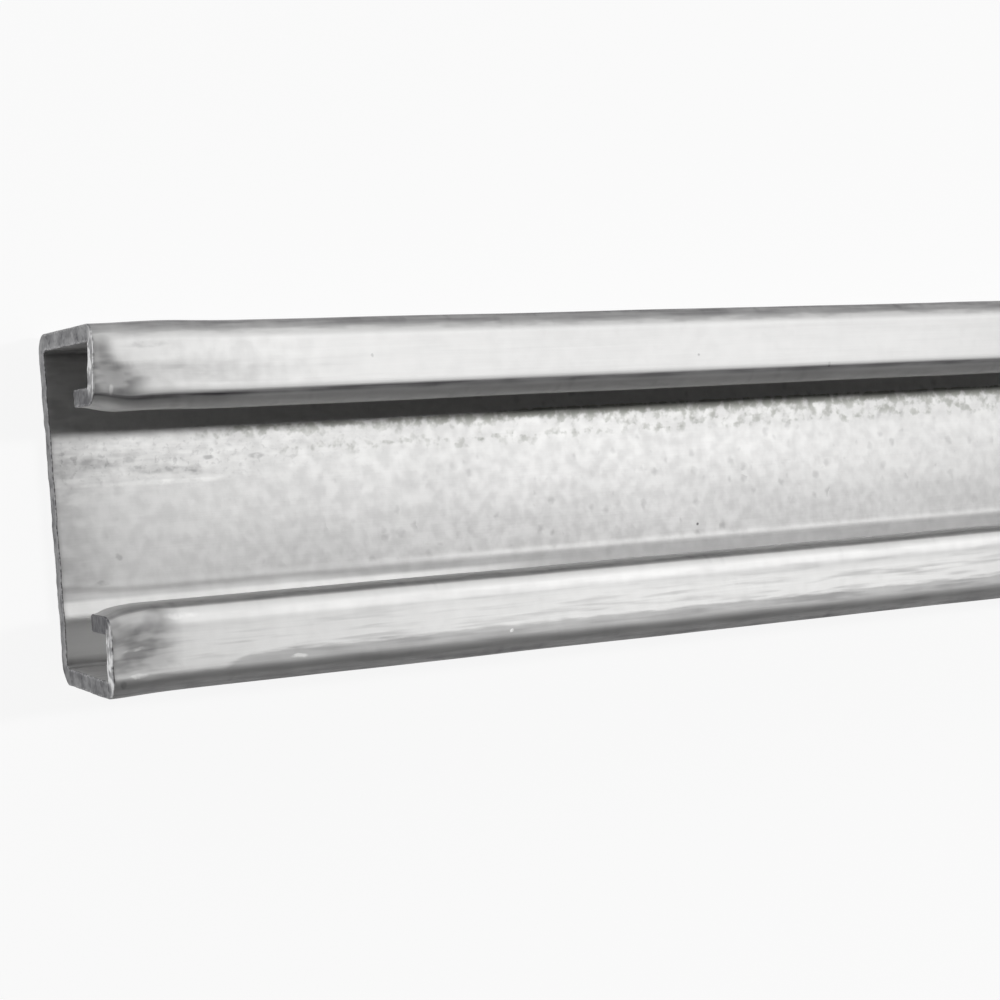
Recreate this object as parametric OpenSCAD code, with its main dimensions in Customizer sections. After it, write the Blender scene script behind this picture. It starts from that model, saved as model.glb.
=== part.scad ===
// Strut channel, plain back: one strip of galvanised steel, roll-formed into a C section whose two
// edges are turned back in, then cut square to length.
// It lies on its back with the slot up. X runs along the channel, Y across it and Z up.
// The origin is at the middle of the back. Sizes are in millimetres.

/* [Channel] */
// Length of the cut piece
channel_len = 304.8; // [60:0.1:6096]
// Width over the two flanges
channel_w = 41.3; // [36:0.1:60]
// Depth from the back to the faces of the lips
channel_d = 20.6; // [16:0.1:82.6]

/* [Strip] */
// Thickness of the strip
strip_t = 2; // [1.2:0.1:2.8]
// Inside radius of the six bends
bend_r = 0.5; // [0.3:0.1:1.8]
// Rounding of the corners of the strip's two slit edges
slit_r = 0.3; // [0.1:0.05:0.55]

/* [Lips] */
// Width of the slot between the lips
slot_w = 22.2; // [14:0.1:28]
// Depth of the turned-in edges, from the faces of the lips
return_d = 7.5; // [5:0.1:11]

/* [Hidden] */
$fn = 64;
// Outside radius of a bend
bend_out = bend_r + strip_t;
// Width of a lip over its two bends
lip_w = (channel_w - slot_w) / 2;
// Straight runs of half the strip: half the back, a flange, a lip and a turned-in edge
runs = [
    channel_w / 2 - bend_out,
    channel_d - 2 * bend_out,
    lip_w - 2 * bend_out,
    return_d - bend_out
];
last_run = len(runs) - 1;

// A straight run from the origin along +X, with the outside of the strip on the X axis
module straight(run_len) {
    square([run_len, strip_t]);
}

// A quarter bend from the origin that turns a strip heading along +X to +Y
module quarter_bend() {
    translate([0, bend_out])
        intersection() {
            difference() {
                circle(bend_out);
                circle(bend_r);
            }
            translate([0, -bend_out])
                square(bend_out);
        }
}

// The last straight run, which ends in a slit edge with both corners rounded
module slit_straight(run_len) {
    straight(run_len - slit_r);
    translate([run_len - slit_r, slit_r])
        square([slit_r, strip_t - 2 * slit_r]);
    for (corner = [slit_r, strip_t - slit_r])
        translate([run_len - slit_r, corner])
            circle(slit_r);
}

// The strip from run i to its slit edge, each run followed by a bend to the left
module strip_from(i) {
    if (i < last_run) {
        straight(runs[i]);
        translate([runs[i], 0])
            quarter_bend();
        translate([runs[i] + bend_out, bend_out])
            rotate(90)
                strip_from(i + 1);
    } else {
        slit_straight(runs[i]);
    }
}

// The whole section, both halves from the middle of the back
module section() {
    strip_from(0);
    mirror([1, 0])
        strip_from(0);
}

// The roll-formed section along the length of the piece
module strut_channel() {
    color("gainsboro")
        rotate([90, 0, 90])
            linear_extrude(channel_len, center = true)
                section();
}

strut_channel();
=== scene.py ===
"""A short length of shallow strut channel in galvanised steel, lying on its back with the slot up."""

import math
from functools import partial, reduce

import bpy
import numpy as np
from mathutils import Matrix, Vector


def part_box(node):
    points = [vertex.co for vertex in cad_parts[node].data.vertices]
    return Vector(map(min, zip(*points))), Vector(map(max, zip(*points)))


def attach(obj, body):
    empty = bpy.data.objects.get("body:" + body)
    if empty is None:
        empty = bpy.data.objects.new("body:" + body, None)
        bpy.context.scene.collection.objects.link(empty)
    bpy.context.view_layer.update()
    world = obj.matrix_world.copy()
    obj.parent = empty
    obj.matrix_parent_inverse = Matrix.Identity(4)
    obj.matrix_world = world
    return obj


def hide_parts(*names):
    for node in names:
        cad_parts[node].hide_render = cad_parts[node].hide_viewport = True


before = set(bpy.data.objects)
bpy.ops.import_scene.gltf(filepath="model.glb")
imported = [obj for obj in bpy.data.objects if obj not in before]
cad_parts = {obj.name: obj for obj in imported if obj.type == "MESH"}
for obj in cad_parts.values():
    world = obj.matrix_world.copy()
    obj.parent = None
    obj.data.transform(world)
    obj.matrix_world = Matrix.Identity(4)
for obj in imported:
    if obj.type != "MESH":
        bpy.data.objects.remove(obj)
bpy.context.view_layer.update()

MM = 0.001

# Sizes of the section, in metres, with the outside ones taken from the frame
LOW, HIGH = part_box("strut_channel")
CHANNEL_LEN = HIGH.x - LOW.x
CHANNEL_W = HIGH.y - LOW.y
CHANNEL_D = HIGH.z - LOW.z
STRIP_T = 2.0 * MM
BEND_R = 0.5 * MM
SLIT_R = 0.3 * MM
SLOT_W = 22.2 * MM
RETURN_D = 7.5 * MM

# Half the strip along its middle line: the back, a flange, a lip and a return, with a bend after each but the
# last
QUARTER = math.pi / 2
HALF_T = STRIP_T / 2
HALF_W = CHANNEL_W / 2
BEND_OUT = BEND_R + STRIP_T
BEND_MID = BEND_R + HALF_T
BEND_ARC = BEND_MID * QUARTER
LIP_W = (CHANNEL_W - SLOT_W) / 2
RUNS = np.array(
    [HALF_W - BEND_OUT, CHANNEL_D - 2 * BEND_OUT, LIP_W - 2 * BEND_OUT, RETURN_D - BEND_OUT]
)
RUN_STARTS = np.cumsum(RUNS) - RUNS + BEND_ARC * np.arange(len(RUNS))
RUN_ENDS = RUN_STARTS + RUNS
BEND_STARTS = RUN_ENDS[:-1]
FLANGE_FROM, LIP_FROM, RETURN_FROM = RUN_STARTS[1:]
BACK_TO, FLANGE_TO, LIP_TO, HALF_STRIP = RUN_ENDS

# How finely the strip is divided
RUN_STEP = 1.0 * MM
ROLL_STEP = 0.2 * MM
BEND_PARTS = 14
SLIT_PARTS = 4
CUT_PARTS = 8
CUT_EDGE_PARTS = 4
FIRST_STEP = 0.22 * MM
FULL_STEP = 2.0 * MM
STEP_GROWTH = 1.1

# Marks that rolling leaves on the true section
BACK_CROWN = 0.12 * MM
ROLL_RIDGE_AT = 9.5 * MM
ROLL_GROOVE_AT = 10.3 * MM
ROLL_MARK_WIDTH = 0.4 * MM
ROLL_MARK_DEPTH = 0.02 * MM
ROLL_MARKS_CHANGE = (25 * MM, 45 * MM)
SLOT_BEND_OUT = 0.20 * MM
LIP_LEAN = 0.30 * MM
LEAN_GROWS = (0.5 * MM, 5 * MM)
FACE_WAVES = ((0.018 * MM, 47 * MM, 0.4), (0.012 * MM, 29 * MM, 2.1), (0.006 * MM, 13 * MM, 1.2))

# Marks that shearing leaves at the two cuts: how far they fall short, their edges and their torn faces
NEAR_LAG = 0.40 * MM
NEAR_SKEW = 0.27 * MM
NEAR_REACH = 0.13 * MM
NEAR_RETURN_REACH = 0.33 * MM
FAR_SKEW = 0.30 * MM
CUT_WAVES = ((0.03 * MM, 7.3 * MM, 0.6), (0.025 * MM, 3.1 * MM, 2.9), (0.02 * MM, 1.7 * MM, 4.4))
CUT_EDGE = 0.13 * MM
LIP_CUT_EDGE = 0.20 * MM
TORN_DEPTH = 0.05 * MM
TORN_SHARE = 0.7
TORN_WAVES = ((0.3, 2.3 * MM, 0.5), (0.2, 1.1 * MM, 1.9))

# How deep the shear drags the near ends of the lips in, and how far along them. The reach grows across a lip,
# in shares of its flat, over a range on the upper side and round a place on the lower side.
UPPER_SAG = 0.30 * MM
LOWER_SAG = 0.22 * MM
UPPER_DRAG = 1.4 * MM
LOWER_DRAG = 1.6 * MM
DRAG_GROWTH = 2.6 * MM
UPPER_DRAG_GROWS = (0.2, 0.9)
LOWER_DRAG_AT = (0.45, 0.35)

# Swells along the channel near its cuts, each with its height, its distance from the cut and its reach
ROLL_TURN = (0.5 * MM, 0, 5 * MM)
FAR_SAG = (0.18 * MM, 0, 2.5 * MM)
UPPER_LIP_SPRING = (0.45 * MM, 0, 2.6 * MM)
UPPER_FLANGE_SPRING = (0.18 * MM, 8.5 * MM, 5 * MM)
LOWER_LIP_SPRING = (0.52 * MM, 0, 1.2 * MM)
LOWER_FLANGE_SPRING = (0.28 * MM, 0, 4.5 * MM)
FAR_SPRING = (0.20 * MM, 0, 4 * MM)

# The part of the lower flange's spring that its lip holds back
LOWER_LIP_HOLD = 0.85


def rise(value, low, high):
    """A smooth step from 0 to 1 as value goes from low to high."""
    part = np.clip((value - low) / (high - low), 0, 1)
    return part * part * (3 - 2 * part)


def fall(value, low, high):
    """A smooth step from 1 to 0 as value goes from low to high."""
    return 1 - rise(value, low, high)


def between(value, start, end):
    """1 between two ranges of value, with a smooth step up over the first and down over the second."""
    return rise(value, *start) * fall(value, *end)


def steps(value, base, *parts):
    """A base with smooth steps of value added, each part with its height and the range that it rises over."""
    return base + sum(height * rise(value, low, high) for height, low, high in parts)


def bell(value, middle, reach):
    """A bell curve: 1 at the middle, and 1/e at one reach to either side."""
    return np.exp(-(((value - middle) / reach) ** 2))


def swell(value, height, middle, reach):
    """A bell curve of this height."""
    return height * bell(value, middle, reach)


def waves(value, *parts):
    """A sum of sines of value, each part with its height, wavelength and phase."""
    return sum(height * np.sin(2 * math.pi * value / length + phase) for height, length, phase in parts)


def formed_section(across, out):
    """Places points of the flat strip in the formed section.

    across is the distance from the middle of the strip along its middle line, and out the distance from
    that line towards the outside. Each straight run adds its length in its own heading, each bend adds a
    quarter of a circle, and the point then moves out along the normal of the heading there. The half with
    across below zero is the mirror image.
    """
    far = np.abs(across)
    y = np.zeros_like(far)
    z = np.full_like(far, HALF_T)
    heading = np.zeros_like(far)
    for i, (start, run) in enumerate(zip(RUN_STARTS, RUNS)):
        gone = np.clip(far - start, 0, run)
        y += gone * math.cos(i * QUARTER)
        z += gone * math.sin(i * QUARTER)
    for i, start in enumerate(BEND_STARTS):
        begin = i * QUARTER
        turned = np.clip((far - start) / BEND_ARC, 0, 1) * QUARTER
        y += BEND_MID * (np.sin(begin + turned) - math.sin(begin))
        z += BEND_MID * (math.cos(begin) - np.cos(begin + turned))
        heading += turned
    y += out * np.sin(heading)
    z -= out * np.cos(heading)
    return np.where(across < 0, -y, y), z


def on_lip(across):
    """1 on the flat of a lip, falling to 0 round the bends beside it."""
    far = np.abs(across)
    return between(far, (FLANGE_TO, LIP_FROM), (LIP_TO, RETURN_FROM))


def sheared_reach(across):
    """How far the shear's drag reaches along a lip from the near cut.

    On the upper side it grows by a smooth step towards the slot, and on the lower side it is greatest in the
    middle of the lip, by a bell curve.
    """
    to_slot = (np.abs(across) - LIP_FROM) / (LIP_TO - LIP_FROM)
    upper = UPPER_DRAG + DRAG_GROWTH * rise(to_slot, *UPPER_DRAG_GROWS)
    lower = LOWER_DRAG + DRAG_GROWTH * bell(to_slot, *LOWER_DRAG_AT)
    return np.where(across > 0, upper, lower)


def drawn_in(along, across):
    """How far the strip lies towards its inside from the true section.

    The back is crowned by a parabola across its width, with a ridge and a groove that the rolls left along
    each side, as bell curves that turn towards the middle at the near cut. The bends beside the slot are
    pressed a little tighter than the others, which puts them out by a bell curve. At both cut ends the shear
    has dragged the lips in, by a bell curve along the channel. The faces also wave a little along the
    channel, as a sum of sines.
    """
    far = np.abs(across)
    crown = BACK_CROWN * np.clip(1 - (far / BACK_TO) ** 2, 0, None)
    roll_place = far + swell(along, *ROLL_TURN)
    ridge = bell(roll_place, ROLL_RIDGE_AT, ROLL_MARK_WIDTH)
    groove = bell(roll_place, ROLL_GROOVE_AT, ROLL_MARK_WIDTH) * fall(along, *ROLL_MARKS_CHANGE)
    slot_bend = SLOT_BEND_OUT * bell(far, (LIP_TO + RETURN_FROM) / 2, BEND_ARC / 4)
    near_sag = np.where(across > 0, UPPER_SAG, LOWER_SAG) * bell(along, 0, sheared_reach(across))
    far_sag = swell(CHANNEL_LEN - along, *FAR_SAG)
    return (
        crown
        + ROLL_MARK_DEPTH * (ridge - groove)
        - slot_bend
        + on_lip(across) * (near_sag + far_sag)
        + waves(along, *FACE_WAVES) * rise(far, BACK_TO, FLANGE_FROM)
    )


def sprung_out(along, across):
    """How far the strip lies out to its own side from the true section.

    Cutting frees the rolled-in stress, so the flanges and lips spring at the ends, by bell curves along the
    channel that grow from nothing at the back to their full height at the lips. Between the ends the lips
    lean a little over the slot, by smooth steps.
    """
    far = np.abs(across)
    at_flange = rise(far, FLANGE_FROM, FLANGE_TO)
    at_return = rise(far, LIP_FROM, RETURN_FROM)
    to_far_cut = CHANNEL_LEN - along
    upper = swell(along, *UPPER_LIP_SPRING) * at_return + swell(along, *UPPER_FLANGE_SPRING) * at_flange
    lower = swell(along, *LOWER_FLANGE_SPRING) * at_flange * (1 - LOWER_LIP_HOLD * at_return)
    lower = lower + swell(along, *LOWER_LIP_SPRING) * at_return
    far_end = swell(to_far_cut, *FAR_SPRING) * at_flange
    lean = LIP_LEAN * rise(np.minimum(along, to_far_cut), *LEAN_GROWS) * at_return
    return np.where(across > 0, upper, lower) + far_end - lean


def cut_lag(across):
    """How far each cut end falls short of the full length: a little out of square, with a ragged line."""
    far = np.abs(across)
    to_side = np.clip(across / BACK_TO, -1, 1)
    on_back = fall(far, BACK_TO, FLANGE_TO)
    ragged = waves(across, *CUT_WAVES)
    on_return = (across > 0) * rise(far, LIP_FROM, RETURN_FROM)
    near = NEAR_LAG - on_back * (NEAR_REACH + NEAR_SKEW * to_side) - on_return * NEAR_RETURN_REACH + ragged
    far_end = FAR_SKEW * (1 + to_side) / 2 - ragged
    return np.clip(near, 0, None), np.clip(far_end, 0, None)


def channel_point(along, across, out):
    """A point of the cut channel, as x, y and z, from its place on the flat strip."""
    y, z = formed_section(across, out - drawn_in(along, across))
    y = y + np.where(across < 0, -1, 1) * sprung_out(along, across)
    near, far_end = cut_lag(across)
    x = LOW.x + near + along * (1 - (near + far_end) / CHANNEL_LEN)
    return np.stack(np.broadcast_arrays(x, y, z), -1)


def strip_side():
    """Distances across one side of the flat strip, close together in the bends and at the roll marks."""
    half = []
    for start, end in zip(RUN_STARTS, RUN_ENDS):
        end = min(end, HALF_STRIP - SLIT_R)
        parts = max(2, math.ceil((end - start) / RUN_STEP))
        half.append(np.linspace(start, end, parts + 1))
    for start in BEND_STARTS:
        half.append(np.linspace(start, start + BEND_ARC, BEND_PARTS + 1)[1:-1])
    half = np.concatenate(half)
    roll_from = ROLL_RIDGE_AT - 2 * ROLL_MARK_WIDTH
    roll_to = ROLL_GROOVE_AT + 2 * ROLL_MARK_WIDTH
    half = half[(half < roll_from) | (half > roll_to)]
    half = np.sort(np.concatenate([half, np.arange(roll_from, roll_to, ROLL_STEP)]))
    return np.concatenate([-half[:0:-1], half])


def slit_edge():
    """Outline of a slit edge from its outer to its inner corner, as (across, out), with its normals.

    It is two quarter circles of the slit radius with a straight between them. Across is measured from the
    centres of the circles, and out from the middle line.
    """
    turn = np.linspace(QUARTER, 0, SLIT_PARTS + 1)[1:]
    turn = np.concatenate([turn, -turn[::-1]])
    normal = np.stack([np.cos(turn), np.sin(turn)], 1)
    centre = np.repeat([1, -1], SLIT_PARTS) * (HALF_T - SLIT_R)
    return normal * SLIT_R + np.stack([0 * centre, centre], 1), normal


def strip_outline():
    """The closed outline of the flat strip's cross-section: places and outward normals as (across, out).

    It runs along the outside, round one slit edge, back along the inside and round the other slit edge.
    """
    side = strip_side()
    flat = np.zeros_like(side)
    edge, edge_normal = slit_edge()
    edge = edge + [HALF_STRIP - SLIT_R, 0]
    outside = np.stack([side, flat + HALF_T], 1)
    inside = np.stack([side[::-1], flat - HALF_T], 1)
    up = np.stack([flat, flat + 1], 1)
    place = np.concatenate([outside, edge, inside, -edge])
    normal = np.concatenate([up, edge_normal, -up, -edge_normal])
    return place, normal, len(side), len(edge)


def body_stations():
    """Distances along the channel between the rounded cut edges, close together near both ends."""
    step_count = math.ceil(math.log(FULL_STEP / FIRST_STEP) / math.log(STEP_GROWTH))
    fine = 2 * LIP_CUT_EDGE + np.cumsum(FIRST_STEP * STEP_GROWTH ** np.arange(step_count))
    middle = CHANNEL_LEN - 2 * fine[-1]
    coarse = fine[-1] + np.linspace(0, middle, math.ceil(middle / FULL_STEP) + 1)[1:-1]
    return np.concatenate([fine, coarse, CHANNEL_LEN - fine[::-1]])


def skin_rows(outline, normal):
    """Strip places of the skin, one row of the outline for each station: along, across and out.

    At the cut ends the outline draws in by a quarter circle, which rounds the cut's edges. Its radius is
    larger on the outside of the lips.
    """
    edge = CUT_EDGE + (LIP_CUT_EDGE - CUT_EDGE) * on_lip(outline[:, 0]) * (outline[:, 1] > 0)
    turn = np.linspace(QUARTER, 0, CUT_EDGE_PARTS + 1)[:, None]
    edge_along = edge * (1 - np.sin(turn))
    edge_inset = edge * (1 - np.cos(turn))
    stations = body_stations()
    body = np.broadcast_to(stations[:, None], (len(stations), len(outline)))
    along = np.concatenate([edge_along, body, CHANNEL_LEN - edge_along[::-1]])
    inset = np.concatenate([edge_inset, np.zeros_like(body), edge_inset[::-1]])
    return along, outline[:, 0] - inset * normal[:, 0], outline[:, 1] - inset * normal[:, 1]


def channel_mesh():
    """The channel's surface: the strip's outline carried along the channel, with both cut ends closed.

    A cut end is columns of quads through the thickness, sunk a little between its edges by a sum of sines,
    with a tip of its own at each slit edge.
    """
    outline, normal, side_count, edge_count = strip_outline()
    along, across, out = skin_rows(outline, normal)
    row_count, count = along.shape
    here = np.arange(count)
    after = (here + 1) % count
    first = np.arange(row_count - 1)[:, None] * count
    skin = np.stack([first + here, first + after, first + count + after, first + count + here], 2)
    strip = [np.stack([along, across, out], 2).reshape(-1, 3)]

    caps = []
    tips = []
    total = row_count * count
    side = outline[:side_count, 0][:, None]
    depth = np.linspace(1, -1, CUT_PARTS + 1)[1:-1] * (HALF_T - CUT_EDGE)
    side, depth = np.broadcast_arrays(side, depth)
    sunk = TORN_DEPTH * (TORN_SHARE + waves(side, *TORN_WAVES) * np.cos(depth / HALF_T))
    for row, end_along, turn in ((0, sunk, 1), (row_count - 1, CHANNEL_LEN - sunk, -1)):
        strip.append(np.stack([end_along, side, depth], 2).reshape(-1, 3))
        own = total + np.arange(side.size).reshape(side.shape)
        total += side.size
        ring = row * count + here
        outer, right, inner, left = np.split(ring, np.cumsum([side_count, edge_count, side_count]))
        columns = np.concatenate([outer[:, None], own, inner[::-1, None]], 1)
        cap = np.stack([columns[:-1, :-1], columns[:-1, 1:], columns[1:, 1:], columns[1:, :-1]], 2)
        caps.append(cap.reshape(-1, 4)[:, ::turn])
        tips.append(np.concatenate([columns[-1], right[::-1]])[::turn])
        tips.append(np.concatenate([columns[0][::-1], left[::-1]])[::turn])

    strip = np.concatenate(strip)
    quads = np.concatenate([skin.reshape(-1, 4), *caps])
    corners = np.concatenate([quads.ravel(), *tips])
    sizes = np.concatenate([np.full(len(quads), 4), [len(tip) for tip in tips]])
    skin_faces = skin.size // 4
    edge_faces = CUT_EDGE_PARTS * count
    is_cut = np.ones(len(sizes), np.int32)
    is_cut[edge_faces : skin_faces - edge_faces] = 0

    mesh = bpy.data.meshes.new("channel")
    mesh.vertices.add(len(strip))
    mesh.vertices.foreach_set("co", channel_point(*strip.T).astype(np.float32).ravel())
    mesh.loops.add(len(corners))
    mesh.loops.foreach_set("vertex_index", corners.astype(np.int32))
    mesh.polygons.add(len(sizes))
    mesh.polygons.foreach_set("loop_start", (np.cumsum(sizes) - sizes).astype(np.int32))
    mesh.polygons.foreach_set("use_smooth", np.ones(len(sizes), bool))
    mesh.polygons.foreach_set("material_index", is_cut)
    mesh.update(calc_edges=True)
    add_maps(mesh, outline, along, strip[corners[skin.size :]])
    add_zones(mesh, strip, row_count * count)
    return mesh


# The part of the map that the skin takes, and the space round the cut ends beside it
SKIN_SHARE = 0.93
MAP_GAP = 0.012


def add_maps(mesh, outline, along, cut):
    """Two maps of the surface: "strip" in millimetres, for the finish, and "OFBake" from 0 to 1.

    On the skin both run along the channel and round the strip's outline. On a cut end they run across the
    strip and through its thickness, beside the skin.
    """
    step = np.linalg.norm(np.diff(outline, axis=0, append=outline[:1]), axis=1)
    girth = np.concatenate([[0], np.cumsum(step)])
    after = np.roll(along, -1, axis=1)
    u = np.stack([along[:-1], after[:-1], after[1:], along[1:]], 2)
    v = np.broadcast_to(np.stack([girth[:-1], girth[1:], girth[1:], girth[:-1]], 1), u.shape)
    u = u.ravel()
    v = v.ravel()
    cut_along, cut_across, cut_out = cut.T
    is_far = cut_along > CHANNEL_LEN / 2
    cut_across = cut_across + HALF_STRIP
    cut_depth = cut_out + HALF_T
    strip_u = np.concatenate([u, -2 * STRIP_T - cut_depth]) / MM
    strip_v = np.concatenate([v, cut_across + is_far * girth[-1]]) / MM
    half_map = 0.5 - MAP_GAP
    cut_u = cut_across / (2 * HALF_STRIP) * half_map + is_far * (1 - half_map)
    cut_v = SKIN_SHARE + MAP_GAP + cut_depth / STRIP_T * (1 - SKIN_SHARE - 2 * MAP_GAP)
    bake_u = np.concatenate([u / CHANNEL_LEN, cut_u])
    bake_v = np.concatenate([v / girth[-1] * SKIN_SHARE, cut_v])
    for name, pair in (("strip", (strip_u, strip_v)), ("OFBake", (bake_u, bake_v))):
        layer = mesh.uv_layers.new(name=name)
        layer.uv.foreach_set("vector", np.stack(pair, 1).astype(np.float32).ravel())


# In the values below, a pair is a range that a smooth step covers or, in a name with AT, a bell curve's
# place and reach. Two pairs are the ranges that a value rises and falls over. Three numbers are a bell
# curve's height, place and reach. Threes after a number are steps on that base, and threes alone are waves.
# Places along are from the near cut, and places across from the middle of the back.

# Painted shade on the outer bends, standing for the dark reflections along the channel's edges, from the flat
# of the lip towards the flange. The painted shade starts at a line, which is spread out here for the finish
# to sharpen.
UPPER_BEND_SHADE = (0.36, (0.54, 0.65 * MM, 1.2 * MM), (0.2, 1.2 * MM, 1.8 * MM))
LOWER_BEND_SHADE = (0.44, (0.12, 0.2 * MM, 0.75 * MM), (0.46, 0.7 * MM, 1.5 * MM))
FLANGE_BEND_SHADE = (1, (-0.5, 2.4 * MM, 4.0 * MM))
BEND_SHADE_LIP_SIDE = (-2.8 * MM, -1.8 * MM)
UPPER_BEND_SHADE_LINE = 0.66 * MM
LOWER_BEND_SHADE_LINE = (0.2 * MM, (-1.25 * MM, 12 * MM, 17 * MM))
EDGE_SPREAD = 2.4 * MM

# A painted dark line in the upper bend beside the slot, which is a painted reflection, the painted shade on
# the face past it, and the painted shade on the face on the lower side; places round the bend are shares of
# its arc past the flat of the lip
DARK_LINE_AT = 0.245
DARK_LINE_SHIFT = (0.09, 0, 15 * MM)
DARK_LINE_WIDTH = 0.07
DARK_LINE_STARTS = (-0.13, -0.03)
DARK_LINE_SHADE = (0.85, (-0.25, 30 * MM, 60 * MM))
UPPER_FACE_SHADE = (0.3, (-0.1, 10 * MM, 25 * MM))
UPPER_FACE_EXTRA = 0.25
UPPER_FACE_FADES = (0.06, 0.46)
LOWER_FACE_STARTS = (0.50, 0.60)
LOWER_FACE_SHADE = (0.8, (-0.32, 1.0, 2.5))

# Painted shade inside the back behind the lips, and how much more of it at the near end
POCKET_STARTS = (BACK_TO - 1.5 * MM, BACK_TO + 0.3 * MM)
UPPER_POCKET_SHADE = 0.5
LOWER_POCKET_SHADE = 0.1
UPPER_POCKET_END = (0.35, 0, 12 * MM)
LOWER_POCKET_END = (0.65, 0, 12 * MM)


def bend_zones(along, across, outside):
    """Painted shade on the bends and returns and in the pockets behind the lips, and the edge where the outer
    bends' painted shade starts.

    The edge rises evenly across the line that the painted shade starts at and is 0.5 on it, so that the
    finish can make it ragged.
    """
    far = np.abs(across)
    upper = across > 0
    before_lip = LIP_FROM - far
    past_lip = (far - LIP_TO) / BEND_ARC
    # Painted shade on the outer bends
    side = np.where(upper, steps(before_lip, *UPPER_BEND_SHADE), steps(before_lip, *LOWER_BEND_SHADE))
    side = side * steps(before_lip, *FLANGE_BEND_SHADE)
    side = side * rise(far, BACK_TO, FLANGE_FROM) * rise(before_lip, *BEND_SHADE_LIP_SIDE)
    line = np.where(upper, UPPER_BEND_SHADE_LINE, steps(along, *LOWER_BEND_SHADE_LINE))
    edge = np.clip(0.5 + (before_lip - line) / EDGE_SPREAD, 0, 1)
    # A painted dark line in the bend, which is a painted reflection, and painted shade on the returns' faces
    # beside the slot
    past_dark_line = past_lip - DARK_LINE_AT - swell(along, *DARK_LINE_SHIFT)
    groove = steps(along, *DARK_LINE_SHADE) * bell(past_dark_line, 0, DARK_LINE_WIDTH)
    upper_face = steps(along, *UPPER_FACE_SHADE) + UPPER_FACE_EXTRA * fall(past_dark_line, *UPPER_FACE_FADES)
    upper_face = (groove + upper_face) * rise(past_dark_line, *DARK_LINE_STARTS)
    lower_face = rise(past_lip, *LOWER_FACE_STARTS) * steps(past_lip, *LOWER_FACE_SHADE)
    slot_side = np.where(upper, upper_face, lower_face)
    # Painted shade in the pockets behind the lips
    upper_pocket = UPPER_POCKET_SHADE + swell(along, *UPPER_POCKET_END)
    lower_pocket = LOWER_POCKET_SHADE + swell(along, *LOWER_POCKET_END)
    pocket_shade = np.where(upper, upper_pocket, lower_pocket) * rise(far, *POCKET_STARTS)
    painted_dull = np.where(outside, np.where(far > LIP_TO, slot_side, side), pocket_shade)
    return painted_dull, np.where(outside & (far < LIP_TO), edge, 1.0)


# Smudges and streaks on the lips. Places across a lip are shares of its flat, from the outer bend to the
# slot. The upper smudge, which is partly painted shade where the shear has dragged the lip's end in, ends in
# multiples of the shear's reach, and the lower smudge's place is in arcs of the bend past the flat.
UPPER_SMUDGE_AND_SHADE = (0.48, (0.5, 0.1, 0.5))
UPPER_SMUDGE_AND_SHADE_ENDS = (0.6, 1.8)
LOWER_SMUDGE = 0.7
LOWER_SMUDGE_ENDS = (5.0 * MM, 8.5 * MM)
LOWER_SMUDGE_SIDE = (0.0, 0.15)
LOWER_SMUDGE_PLACE = ((-2.4, -1.8), (0.5, 0.8))
FAR_SMUDGE = 0.6
FAR_SMUDGE_ENDS = (1.5 * MM, 5 * MM)
STRIPE_SIDE = (0.53, 0.59)
STRIPE_SLOT_SIDE = (0.8, 1.0)
STRIPE_SLOT_FADE = (0.6, (0.4, 8 * MM, 16 * MM))
STRIPE_GREY = (0.32, 7 * MM, 16 * MM)
UPPER_STREAKS = 0.1
UPPER_STREAKS_SIDE = (0.35, 0.6)
UPPER_STREAKS_NEAR = (0.25, 14 * MM, 20 * MM)
LOWER_STREAKS = 0.25
LOWER_STREAKS_MIDDLE = (0.75, 0.45, 0.4)
LOWER_STREAKS_FAR = (0.6, 110 * MM, 30 * MM)


def lip_zones(along, across, outside):
    """Where shearing and handling have smudged the lips, with painted shade at the upper lip's dragged-in
    end, and where rolling has left streaks on them.
    """
    upper = across > 0
    lip = on_lip(across) * outside
    to_slot = np.clip((np.abs(across) - LIP_FROM) / (LIP_TO - LIP_FROM), 0, 1)
    # The upper smudge is partly painted shade where the shear has dragged the lip's end in
    near_upper_smudge_and_shade = fall(along / sheared_reach(across), *UPPER_SMUDGE_AND_SHADE_ENDS) * steps(to_slot, *UPPER_SMUDGE_AND_SHADE)
    near_lower = LOWER_SMUDGE * fall(along, *LOWER_SMUDGE_ENDS) * rise(to_slot, *LOWER_SMUDGE_SIDE)
    far_cut = FAR_SMUDGE * fall(CHANNEL_LEN - along, *FAR_SMUDGE_ENDS)
    stripe_end = steps(along, *STRIPE_SLOT_FADE) * rise(to_slot, *STRIPE_SLOT_SIDE)
    stripe = rise(to_slot, *STRIPE_SIDE) * (1 - stripe_end)
    greyed = upper * stripe * swell(along, *STRIPE_GREY)
    smudge_and_shade = np.where(upper, near_upper_smudge_and_shade, near_lower) + far_cut + greyed
    upper_streaks = UPPER_STREAKS + rise(to_slot, *UPPER_STREAKS_SIDE) * swell(along, *UPPER_STREAKS_NEAR)
    lower_streaks = LOWER_STREAKS + swell(to_slot, *LOWER_STREAKS_MIDDLE)
    lower_streaks = lower_streaks * (1 + swell(along, *LOWER_STREAKS_FAR))
    past_lip = (np.abs(across) - LIP_TO) / BEND_ARC
    smudged = np.where(upper, lip, outside * between(past_lip, *LOWER_SMUDGE_PLACE))
    return smudged * np.clip(smudge_and_shade, 0, 1), lip * np.where(upper, upper_streaks, lower_streaks)


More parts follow.
